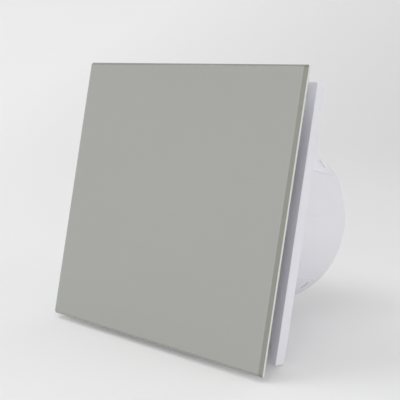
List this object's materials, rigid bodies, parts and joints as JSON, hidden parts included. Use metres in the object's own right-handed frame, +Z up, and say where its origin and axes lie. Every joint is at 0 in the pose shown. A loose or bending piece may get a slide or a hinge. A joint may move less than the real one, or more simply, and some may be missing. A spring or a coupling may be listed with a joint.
{
  "type": "bathroom extractor fan",
  "caption": "Wall-mounted extractor fan: a square bevelled glass panel stands off a slim square casing with a round duct spigot, axial impeller and backdraught flaps.",
  "frame": {"origin": "on the duct's axis, in the plane of the casing's rear rim, which is the plane of the wall", "axes": "+Z up, +Y through the wall into the duct, glass facing -Y, +X to the right seen from the room"},
  "size_m": [0.18, 0.1257, 0.18],
  "materials": {
    "grey_glass": "satin, grey-beige colour on the back, bevelled edge",
    "white_plastic": "fine satin moulding",
    "bracket_plastic": "moulded, satin",
    "flap_plastic": "thin moulded, satin",
    "foam_tape": "foam",
    "impeller_plastic": "moulded, satin",
    "zinc_steel": "zinc plated",
    "shaft_steel": "ground",
    "lamination_steel": "stacked sheet",
    "copper_winding": "enamelled wire",
    "brass": "turned",
    "terminal_plastic": "moulded",
    "black_rubber": "matte",
    "lead_sheath": "PVC"
  },
  "bodies": {
    "casing": {"front_housing": "white_plastic", "inlet_ring": "white_plastic", "duct_spigot": "white_plastic", "flange_screw_1": "zinc_steel", "flange_screw_2": "zinc_steel", "flange_screw_3": "zinc_steel", "flange_screw_4": "zinc_steel", "motor_bracket": "bracket_plastic", "motor_front_shield": "zinc_steel", "motor_rear_shield": "zinc_steel", "stator_core": "lamination_steel", "coil_1": "copper_winding", "coil_2": "copper_winding", "coil_3": "copper_winding", "coil_4": "copper_winding", "front_bearing": "brass", "rear_bearing": "brass", "motor_screw_1": "zinc_steel", "motor_screw_2": "zinc_steel", "flap_pin": "zinc_steel", "terminal_block": "terminal_plastic", "terminal_screw_1": "brass", "terminal_screw_2": "brass", "terminal_screw_3": "brass", "terminal_cover": "white_plastic", "terminal_cover_screw": "zinc_steel", "cable_clamp": "white_plastic", "cable_clamp_screw_1": "zinc_steel", "cable_clamp_screw_2": "zinc_steel", "cable_grommet": "black_rubber", "motor_lead": "lead_sheath"},
    "panel": {"glass_panel": "grey_glass", "tape_left": "foam_tape", "tape_right": "foam_tape", "tape_top": "foam_tape", "tape_bottom": "foam_tape", "panel_carrier": "white_plastic"},
    "impeller_group": {"impeller": "impeller_plastic", "impeller_nut": "brass", "rotor": "lamination_steel", "shaft": "shaft_steel"},
    "left_flap": {"flap_left": "flap_plastic", "spring_left": "shaft_steel"},
    "right_flap": {"flap_right": "flap_plastic", "spring_right": "shaft_steel"}
  },
  "joints": [
    {"name": "impeller_spin", "type": "hinge", "parent": "casing", "child": "impeller_group", "pos_m": [0, 0.03, 0], "axis": [0, 1, 0], "continuous": true},
    {"name": "panel_pull", "type": "slide", "parent": "casing", "child": "panel", "axis": [0, -1, 0], "range_m": [0, 0.04]},
    {"name": "flap_left_swing", "type": "hinge", "parent": "casing", "child": "left_flap", "pos_m": [0, 0.0881, 0], "axis": [0, 0, -1], "range_deg": [0, 65], "stiffness_Nm_per_rad": 0.0015, "springref_deg": -20.05},
    {"name": "flap_right_swing", "type": "hinge", "parent": "casing", "child": "right_flap", "pos_m": [0, 0.0881, 0], "axis": [0, 0, 1], "range_deg": [0, 65], "stiffness_Nm_per_rad": 0.0015, "springref_deg": -20.05}
  ]
}
